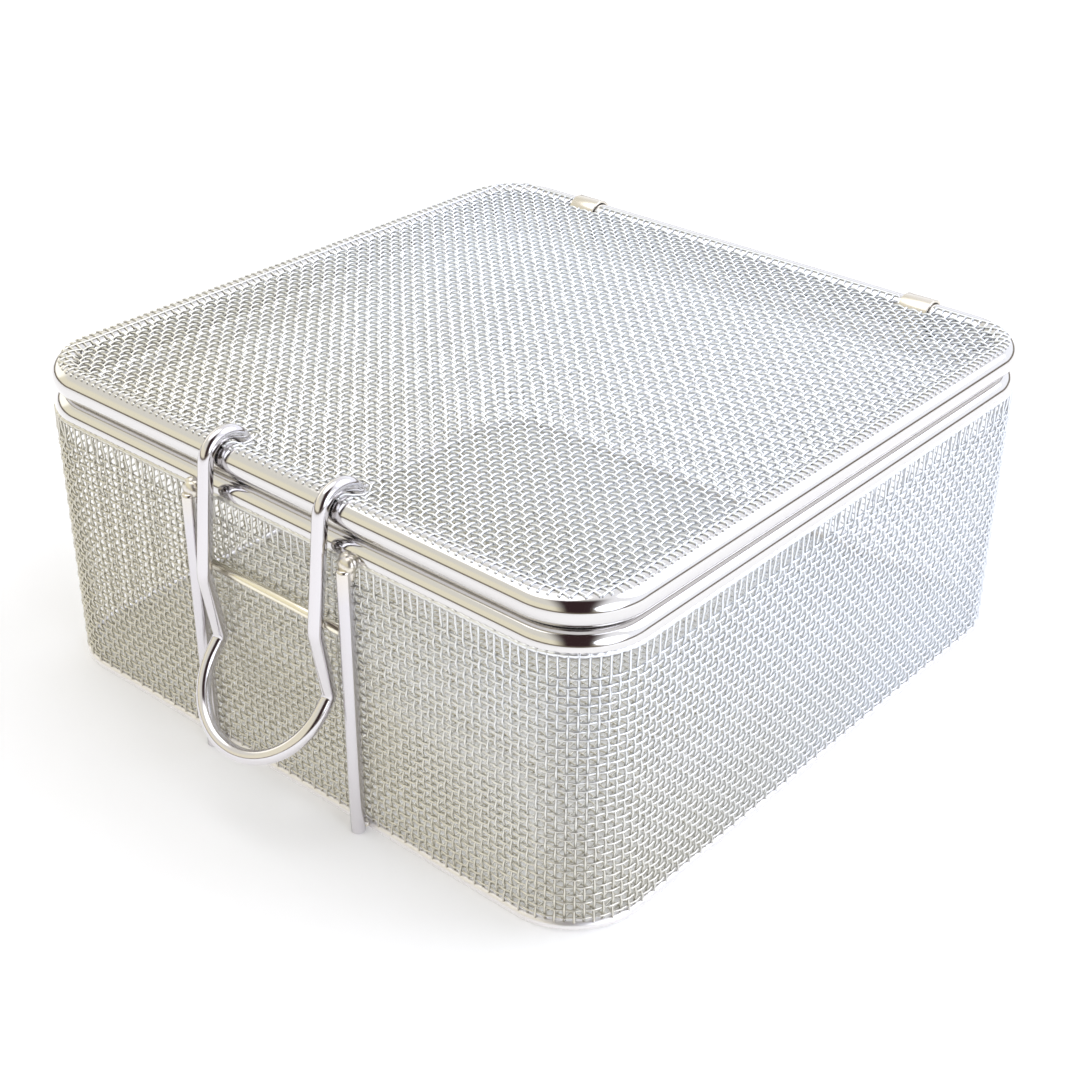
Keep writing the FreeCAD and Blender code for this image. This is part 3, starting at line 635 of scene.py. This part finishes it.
class BASKET_OT_lid_cloth(bpy.types.Operator):
    """Weave the lid, part its wires round the hooks and cut them at the hooks and straps"""
    bl_idname = "basket.lid_cloth"
    bl_label = "Lid cloth"

    # The lid's crimp, as a share of the cloth's
    crimp_share = 1.15
    # Points from one crossing to the next, enough to follow the bead's round
    steps = 3
    # Room of a slot beside a strap and in front of it
    slot_room = 0.4 * MM
    # Room between a hook and the wires that part round it, and, in half widths of that hole, how
    # far the parting reaches and how far the slot goes past the hook
    hook_room = 0.3 * MM
    fade_widths = 2.4
    slot_widths = 1.2
    # Wires tucked into the bead at a strap: inside its middle, and lower than the cloth
    tuck_in = 0.8 * MM
    tuck_down = 0.5 * MM
    # Outermost wires inside the ends of the wires that they cross
    edge_room = 0.9 * MM
    # A weld nugget's half width and half height
    nugget_wide = 0.27 * MM
    nugget_tall = 0.16 * MM

    def execute(self, context):
        cloth = sizes_of(context, "cloth")
        latch = sizes_of(context, "latch")
        strap = sizes_of(context, "strap")
        material = made_once(electropolished_cloth, context)
        half = BEAD_HALF + cloth.lid_reach
        bead_corner = cloth.corner - (WALL_HALF - cloth.wire - BEAD_HALF)
        reach = plan_reach(half, bead_corner + cloth.lid_reach)
        count = 2 * int((half - self.edge_room) / cloth.pitch) + 1
        places = centred(count, cloth.pitch)
        level = LID_LEVEL + cloth.lid_rise
        hook_radius = BEAD_RADIUS + latch.hook_play + latch.wire / 2
        hook_in = -BEAD_HALF + math.sqrt(hook_radius ** 2 - cloth.lid_rise ** 2)
        hooks = [np.array([side * latch.half_span, hook_in]) for side in (-1, 1)]
        hole = latch.wire / 2 + cloth.wire / 2 + self.hook_room
        slot_half = strap.width / 2 + self.slot_room
        strap_in = BEAD_HALF - BEAD_RADIUS - strap.play - strap.sheet - self.slot_room
        at_strap = np.abs(np.abs(places) - STRAP_X) < slot_half

        def parted(path):
            """Points near a hook move straight away from it, and those on the bead up to its surface.

            A distance becomes the root of its square plus the hole's square, which fades with the
            distance. At a strap the outermost cross wires are tucked into the bead.
            """
            plan = path[..., :2].copy()
            for middle in hooks:
                away = plan - middle
                gap = np.linalg.norm(away, axis=-1, keepdims=True) + 1e-9
                fade = np.exp(-(gap / (self.fade_widths * hole)) ** 4)
                plan = middle + away / gap * np.sqrt(gap ** 2 + hole ** 2 * fade)
            near = (np.abs(np.abs(plan[..., 0]) - STRAP_X) < slot_half) & (plan[..., 1] > strap_in)
            tucked = np.maximum(plan[..., 1], BEAD_HALF - self.tuck_in)
            plan[..., 1] = np.where(near, tucked, plan[..., 1])
            lift = np.maximum(path[..., 2], on_bead(plan, bead_corner))
            lift = np.where(near, path[..., 2] - self.tuck_down, lift)
            return np.concatenate([plan, lift[..., None]], -1)

        def under_hook(path):
            """Points of the slot at each hook, from the bead to just behind the hook."""
            beside = np.abs(np.abs(path[..., 0]) - latch.half_span)
            return (beside < hole) & (path[..., 1] < hook_in + self.slot_widths * hole)

        rear_ends = np.where(at_strap, strap_in, BEAD_HALF - cloth.rear_clear)
        wave = self.crimp_share * cloth.crimp
        shapes = [
            woven(places, places, reach, level, wave, cloth.wire, False, self.steps, parted, rear_ends),
            woven(places, places, reach, level, -wave, cloth.wire, True, self.steps, parted,
                  cut=under_hook),
        ]
        for name, shape in zip(("lid_warp", "lid_weft"), shapes):
            add_piece(name, [shape], material, "lid", ["lid_mesh"])
        self.nuggets(context, places, reach(places), rear_ends, bead_corner)
        return {"FINISHED"}

    def nuggets(self, context, places, ends, rear_ends, bead_corner):
        """Small weld nuggets on the lid's bead, one at each wire end that reaches it."""
        welded = rear_ends > BEAD_HALF - BEAD_RADIUS
        middles = np.concatenate([
            np.stack([ends, places], -1),
            np.stack([-ends, places], -1),
            np.stack([places, -ends], -1),
            np.stack([places, np.minimum(ends, rear_ends)], -1)[welded]])
        middles = np.concatenate([middles, on_bead(middles, bead_corner)[:, None]], -1)
        radii = np.full((len(middles), 3), self.nugget_wide)
        radii[:, 2] = self.nugget_tall
        shape = blobs(middles, radii, 3, 6, 0.15, 11)
        add_piece(
            "lid_nuggets", [shape], made_once(electropolished_cloth, context), "lid", [])


class BASKET_OT_rims(bpy.types.Operator):
    """Make the two rim beads and the bottom ring"""
    bl_idname = "basket.rims"
    bl_label = "Rims and bottom ring"

    def execute(self, context):
        cloth = sizes_of(context, "cloth")
        colours = sizes_of(context, "colours")
        bright = made_once(drawn_wire, context, "bright_rim_wire", colours.bead, 0.05)
        satin = made_once(drawn_wire, context, "frame_wire", colours.frame_wire, 0.16)
        middle = WALL_HALF - cloth.wire
        hoops = (
            ("basket_bead", BEAD_HALF, BEAD_RADIUS, RIM_LEVEL, bright,
             "basket", "basket_rim", "rim_bead"),
            ("lid_bead", BEAD_HALF, BEAD_RADIUS, LID_LEVEL, bright,
             "lid", "lid_rim", "rim_bead"),
            ("bottom_hoop", RING_HALF, RING_RADIUS, RING_RADIUS, satin,
             "basket", "base_ring", "frame_wire"),
        )
        for name, half, radius, level, material, body, cad, slot in hoops:
            corner = cloth.corner + half - middle
            run = 2 * (half - corner)
            quarter = np.linspace(0, corner * np.pi / 2, 33)[:-1]
            side = np.concatenate([np.linspace(0, run, 9)[:-1], run + quarter])
            side_length = run + corner * np.pi / 2
            places = (side[None] + np.arange(4)[:, None] * side_length).ravel()
            points, outward = around(places, half, corner, level)
            shape = sweep(points[None], outward[None], circle(radius, 40), closed=True)
            add_piece(name, [shape], material, body, [cad])
        return {"FINISHED"}


class BASKET_OT_front_frame(bpy.types.Operator):
    """Make the two uprights, the catch bar and their welds"""
    bl_idname = "basket.front_frame"
    bl_label = "Uprights and catch bar"

    def execute(self, context):
        colours = sizes_of(context, "colours")
        satin = made_once(
            drawn_wire, context, "upright_wire", colours.frame_wire, 0.16,
            UPRIGHT_HIGH.z - 5 * MM, UPRIGHT_HIGH.z)
        weld = made_once(weld_metal, context)
        edge = 0.15 * MM
        for name, cad, sign in (
                ("left_upright", "upright_left", -1), ("right_upright", "upright_right", 1)):
            top = UPRIGHT_HIGH.z
            levels = np.array([0, edge, 10 * MM, 20 * MM, 30 * MM, top - 3 * edge, top - edge, top])
            path = np.stack([np.full(8, sign * UPRIGHT_X), np.full(8, UPRIGHT_Y), levels], -1)
            across = np.broadcast_to(np.array([1.0, 0.0, 0.0]), path.shape)
            scale = np.array([0.9, 1, 1, 1, 1, 1, 0.93, 0.7])
            shape = sweep(path[None], across[None], circle(UPRIGHT_RADIUS, 24), scale=scale[None])
            add_piece(name, [shape], satin, "basket", [cad])
            # Four lumps melted together at the top and one at the foot, with their half sizes
            lump_x = sign * UPRIGHT_X + np.array([0.0, -0.4, 0.35, 0.1, 0.0]) * MM
            lump_y = UPRIGHT_Y + np.array([0.55, 0.85, 0.9, 0.5, 0.9]) * MM
            lump_z = np.array([
                top + 0.3 * MM, top + 0.85 * MM, top + 0.55 * MM, top - 0.8 * MM, 0.9 * MM])
            size = np.array([
                [1.5, 1.0, 1.25], [1.05, 0.8, 1.0], [1.1, 0.8, 1.1], [1.2, 0.75, 1.4],
                [1.1, 0.6, 0.7]])
            shape = blobs(np.stack([lump_x, lump_y, lump_z], -1), size * MM, 9, 14, 0.08, 3 + sign)
            add_piece(name + "_welds", [shape], weld, "basket", [])
        reach = UPRIGHT_X - 0.4 * UPRIGHT_RADIUS
        path = np.array([[x, CATCH_Y, CATCH_LEVEL] for x in (-reach, -5 * MM, 5 * MM, reach)])
        across = np.broadcast_to(np.array([0.0, 0.0, 1.0]), path.shape)
        shape = sweep(path[None], across[None], circle(CATCH_RADIUS, 20))
        # Painted warm reflection: the cream base colour of the catch bar stands in for the warm room that
        # it mirrors
        tinted = made_once(drawn_wire, context, "catch_bar_painted_reflection", colours.catch_bar, 0.24)
        add_piece("catch_wire", [shape], tinted, "basket", ["catch_bar"])
        ends = np.array([[-1, 0, 0], [1, 0, 0]]) * (UPRIGHT_X - UPRIGHT_RADIUS) + [0, CATCH_Y, CATCH_LEVEL]
        shape = blobs(ends, np.full((2, 3), 1.2 * CATCH_RADIUS) * [0.7, 1, 1], 7, 12, 0.06, 5)
        add_piece("catch_welds", [shape], weld, "basket", [])
        return {"FINISHED"}


class BASKET_OT_latch(bpy.types.Operator):
    """Bend the latch wire"""
    bl_idname = "basket.latch"
    bl_label = "Latch"

    def execute(self, context):
        latch = sizes_of(context, "latch")
        colours = sizes_of(context, "colours")
        bright = made_once(drawn_wire, context, "spring_wire", colours.latch, 0.09)
        hook_radius = BEAD_RADIUS + latch.hook_play + latch.wire / 2
        centre = np.array([LATCH_AXIS.y, LATCH_AXIS.z])
        drop = np.array([-math.sin(latch.ring_tilt), -math.cos(latch.ring_tilt)])
        elbow = np.array([-latch.leg_out, latch.leg_level])
        start = np.array([-latch.ring_out, latch.ring_level])
        kink = start - drop * latch.kink_rise
        gap = elbow - centre
        leave = math.atan2(gap[1], gap[0]) - math.acos(hook_radius / np.hypot(*gap))
        turn = np.linspace(latch.hook_tip, leave % (2 * np.pi), 40)
        hook = centre + hook_radius * np.stack([np.cos(turn), np.sin(turn)], -1)
        runs = [(0.0, *hook[-1]), (0.0, *elbow), (0.0, *kink), (0.0, *start)]
        leg = bent_wire(runs, [latch.leg_bend, latch.kink_bend], 14)[1:]
        side = np.concatenate([np.insert(hook, 0, 0.0, axis=1), leg])
        swing = np.linspace(0, np.pi, 61)[1:-1]
        ring = np.stack([
            -latch.half_span * np.cos(swing),
            start[0] + drop[0] * latch.half_span * np.sin(swing),
            start[1] + drop[1] * latch.half_span * np.sin(swing)], -1)
        shift = np.array([latch.half_span, 0, 0])
        path = np.concatenate([side - shift, ring, side[::-1] + shift])
        tangent = unit(np.gradient(path, axis=0))
        sideways = np.broadcast_to(np.array([1.0, 0.0, 0.0]), side.shape)
        facing = np.array([0.0, drop[1], -drop[0]])
        on_leg = unit(np.cross(tangent[:len(side)], sideways))
        on_ring = np.broadcast_to(facing * np.sign(on_leg[-1] @ facing), ring.shape)
        other_leg = on_leg[::-1]
        across = np.concatenate([on_leg, on_ring, other_leg])
        across = unit(across - np.sum(across * tangent, -1, keepdims=True) * tangent)
        scale = np.ones(len(path))
        scale[[0, -1]] = 0.9
        shape = sweep(path[None], across[None], circle(latch.wire / 2, 24), scale=scale[None])
        add_piece("latch_wire", [shape], bright, "latch", ["latch"])
        return {"FINISHED"}


class BASKET_OT_hinge_straps(bpy.types.Operator):
    """Fold the two hinge straps over the lid's rear bead"""
    bl_idname = "basket.hinge_straps"
    bl_label = "Hinge straps"

    def execute(self, context):
        strap = sizes_of(context, "strap")
        colours = sizes_of(context, "colours")
        strip = made_once(
            drawn_wire, context, "hinge_strip", colours.strap, 0.2, LID_LEVEL, STRAP_LOW.z)
        weld = made_once(weld_metal, context)
        radius = BEAD_RADIUS + strap.play + strap.sheet / 2
        turn = np.linspace(np.pi, 0, 25)
        arc = np.stack([radius * np.cos(turn), radius * np.sin(turn)], -1)
        fold = np.concatenate([[[-radius, -strap.inner_drop]], arc, [[radius, -strap.outer_drop]]])
        profile = rounded_bar(strap.width, strap.sheet, 0.12 * MM, 4)
        for name, cad, sign in (
                ("left_strap", "hinge_strap_left", -1), ("right_strap", "hinge_strap_right", 1)):
            path = np.stack([
                np.full(len(fold), sign * STRAP_X), BEAD_HALF + fold[:, 0], LID_LEVEL + fold[:, 1]], -1)
            across = np.broadcast_to(np.array([1.0, 0.0, 0.0]), path.shape)
            shape = sweep(path[None], across[None], profile)
            add_piece(name, [shape], strip, "basket", [cad])
            middles = np.array([[-1.6, 0, 0], [0, 0, 0], [1.6, 0, 0]]) * MM
            middles += [sign * STRAP_X, BEAD_HALF - BEAD_RADIUS + 0.1 * MM, RIM_LEVEL]
            shape = blobs(middles, np.full((3, 3), 1.0 * MM) * [1, 0.45, 0.8], 7, 12, 0.06, 21 + sign)
            add_piece(name + "_weld", [shape], weld, "basket", [])
        return {"FINISHED"}


class BASKET_OT_studio(bpy.types.Operator):
    """Set up the floor, the world, the lamps and the camera"""
    bl_idname = "basket.studio"
    bl_label = "Studio"

    target = Vector((0.0, 0.0, 0.01576))
    distance = 0.2835
    azimuth = math.radians(40.63)
    elevation = math.radians(30.43)
    roll = math.radians(0.40)
    lens = 60.91

    def execute(self, context):
        context.scene.view_settings.view_transform = "Standard"
        self.floor(context)
        self.world(context)
        self.lamps(context)
        self.camera(context)
        return {"FINISHED"}

    def floor(self, context):
        """White floor: diffuse, and lifted a little for camera, mirror and clear rays, mirrors most."""
        colours = sizes_of(context, "colours")
        mesh = bpy.data.meshes.new("floor")
        reach = 3.0
        corners = [(-reach, -reach, 0), (reach, -reach, 0), (reach, reach, 0), (-reach, reach, 0)]
        mesh.from_pydata(corners, [], [(0, 1, 2, 3)])
        material, tree, output = new_material("studio_floor")
        matt = node(tree, "ShaderNodeBsdfDiffuse", {"Color": (*colours.floor, 1)})
        mirrored = node(tree, "ShaderNodeLightPath").outputs["Is Glossy Ray"]
        strength = node(
            tree, "ShaderNodeMath", {1: 0.2}, {0: mirrored, 2: seen(tree, 0.2, 0.0)},
            operation="MULTIPLY_ADD")
        lift = node(tree, "ShaderNodeEmission", {"Color": (1, 1, 1, 1)}, {"Strength": strength.outputs[0]})
        both = node(tree, "ShaderNodeAddShader", {}, {0: matt.outputs[0], 1: lift.outputs[0]})
        tree.links.new(both.outputs[0], output.inputs["Surface"])
        mesh.materials.append(material)
        floor = bpy.data.objects.new("floor", mesh)
        context.scene.collection.objects.link(floor)

    def world(self, context):
        """Room that the metal mirrors, white where the camera sees it.

        Warm at the front and cool at the rear, dimmer above, with a bright window at the left, a
        dark band that stands at the front right, and a grey line low all round.
        """
        world = bpy.data.worlds.new("studio")
        context.scene.world = world
        world.use_nodes = True
        tree = world.node_tree
        tree.nodes.clear()
        output = tree.nodes.new("ShaderNodeOutputWorld")
        heading = node(tree, "ShaderNodeTexCoord").outputs["Generated"]
        height = node(tree, "ShaderNodeSeparateXYZ", {}, {"Vector": heading}).outputs["Z"]
        rear = node(
            tree, "ShaderNodeVectorMath", {1: (0.5, 0.87, 0.0)}, {0: heading}, operation="DOT_PRODUCT")
        rear = step_between(tree, rear.outputs["Value"], -0.20, 0.45)
        upper = step_between(tree, height, 0.42, 0.60)
        front_side = blend(tree, upper, (1.15, 1.09, 0.86), (1.00, 0.98, 0.90))
        rear_side = blend(tree, upper, (1.38, 1.42, 1.52), (1.24, 1.25, 1.31))
        window = patch(tree, heading, (-0.97, 0.10, 0.22), 0.90, 0.96)
        beside = node(
            tree, "ShaderNodeVectorMath", {1: (0.759, 0.651, 0.0)}, {0: heading}, operation="DOT_PRODUCT")
        away = node(
            tree, "ShaderNodeMath", {}, {0: beside.outputs["Value"]}, operation="ABSOLUTE").outputs[0]
        facing = patch(tree, heading, (0.651, -0.759, 0.0), 0.0, 0.3)
        dark = node(
            tree, "ShaderNodeMath", {}, {0: facing, 1: step_between(tree, away, 0.50, 0.20)},
            operation="MULTIPLY").outputs[0]
        low = node(
            tree, "ShaderNodeMath", {},
            {0: step_between(tree, height, 0.15, 0.07), 1: step_between(tree, height, -0.10, -0.03)},
            operation="MULTIPLY").outputs[0]
        room = blend(tree, rear, front_side, rear_side)
        room = blend(tree, window, room, (1.7, 1.67, 1.5))
        room = blend(tree, dark, room, linear("#3F2E30"))
        room = blend(tree, low, room, linear("#83796C"))
        shown = blend(tree, camera_ray(tree), room, (1, 1, 1))
        surround = node(
            tree, "ShaderNodeBackground", {}, {"Color": shown, "Strength": seen(tree, 1.0, 0.7)})
        tree.links.new(surround.outputs[0], output.inputs["Surface"])

    def lamps(self, context):
        """Three soft round lamps: behind to the right, overhead and at the right."""
        for name, place, size, power, tint in (
                ("key", (0.45, 0.55, 0.70), 0.8, 4.0, "#EEF3FF"),
                ("top", (-0.25, -0.10, 0.90), 0.8, 2.4, "#FBFAFF"),
                ("side", (0.80, -0.15, 0.35), 0.6, 2.0, "#E8EFFF")):
            light = bpy.data.lights.new(name, "AREA")
            light.shape = "DISK"
            light.size = size
            light.energy = power
            light.color = linear(tint)
            lamp = bpy.data.objects.new(name, light)
            lamp.location = place
            lamp.rotation_euler = (Vector(place) - Vector((0, 0, 0.02))).to_track_quat("Z", "Y").to_euler()
            context.scene.collection.objects.link(lamp)

    def camera(self, context):
        """Camera at the photograph's height and side, with its small roll."""
        forward = Vector((
            -math.sin(self.azimuth) * math.cos(self.elevation),
            math.cos(self.azimuth) * math.cos(self.elevation), -math.sin(self.elevation)))
        right = Vector((math.cos(self.azimuth), math.sin(self.azimuth), 0.0))
        upward = right.cross(forward)
        turned = math.cos(self.roll) * right + math.sin(self.roll) * upward
        upward = math.cos(self.roll) * upward - math.sin(self.roll) * right
        data = bpy.data.cameras.new("camera")
        data.lens = self.lens
        data.sensor_width = 36.0
        data.clip_start = 0.01
        data.clip_end = 20.0
        camera = bpy.data.objects.new("camera", data)
        axes = Matrix((turned, upward, -forward)).transposed().to_4x4()
        camera.matrix_world = Matrix.Translation(self.target - forward * self.distance) @ axes
        context.scene.collection.objects.link(camera)
        context.scene.camera = camera


def camera_ray(tree):
    """One for a ray that comes straight from the camera."""
    return node(tree, "ShaderNodeLightPath").outputs["Is Camera Ray"]


def seen(tree, when_seen, otherwise):
    """One value for camera, mirror and clear rays, and another for the light that falls on things."""
    path = node(tree, "ShaderNodeLightPath")
    either = node(
        tree, "ShaderNodeMath", {},
        {0: path.outputs["Is Camera Ray"], 1: path.outputs["Is Glossy Ray"]}, operation="MAXIMUM")
    any_of = node(
        tree, "ShaderNodeMath", {},
        {0: either.outputs[0], 1: path.outputs["Is Transmission Ray"]}, operation="MAXIMUM")
    return shaded(tree, any_of.outputs[0], otherwise, when_seen)


def step_between(tree, value, start, end):
    """Smooth step: zero where a value has not reached the start, one past the end."""
    return node(
        tree, "ShaderNodeMapRange", {"From Min": start, "From Max": end}, {"Value": value},
        interpolation_type="SMOOTHSTEP").outputs[0]


def patch(tree, heading, towards, edge, core):
    """Part of the surround: zero outside a cone about a direction, one inside a narrower cone."""
    aim = Vector(towards).normalized()
    near = node(tree, "ShaderNodeVectorMath", {1: aim}, {0: heading}, operation="DOT_PRODUCT")
    return step_between(tree, near.outputs["Value"], edge, core)


class BASKET_PT_build(bpy.types.Panel):
    """Lists the steps that build the basket"""
    bl_idname = "BASKET_PT_build"
    bl_label = "Sterilization basket"
    bl_space_type = "VIEW_3D"
    bl_region_type = "UI"
    bl_category = "Basket"

    def draw(self, context):
        for step in STEPS:
            self.layout.operator(step.bl_idname)


GROUPS = {
    "cloth": BasketClothSizes,
    "latch": BasketLatchSizes,
    "strap": BasketStrapSizes,
    "colours": BasketColours,
}
STEPS = (
    BASKET_OT_studio, BASKET_OT_rims, BASKET_OT_wall_cloth, BASKET_OT_base_cloth, BASKET_OT_lid_cloth,
    BASKET_OT_front_frame, BASKET_OT_latch, BASKET_OT_hinge_straps,
)


def register():
    for kind in (*GROUPS.values(), *STEPS, BASKET_PT_build):
        bpy.utils.register_class(kind)
    for name, group in GROUPS.items():
        setattr(bpy.types.Scene, "basket_" + name, PointerProperty(type=group))


def unregister():
    for name in GROUPS:
        delattr(bpy.types.Scene, "basket_" + name)
    for kind in (BASKET_PT_build, *reversed(STEPS), *reversed(GROUPS.values())):
        bpy.utils.unregister_class(kind)


def main():
    register()
    for step in STEPS:
        group, name = step.bl_idname.split(".")
        getattr(getattr(bpy.ops, group), name)()


if __name__ == "__main__":
    main()
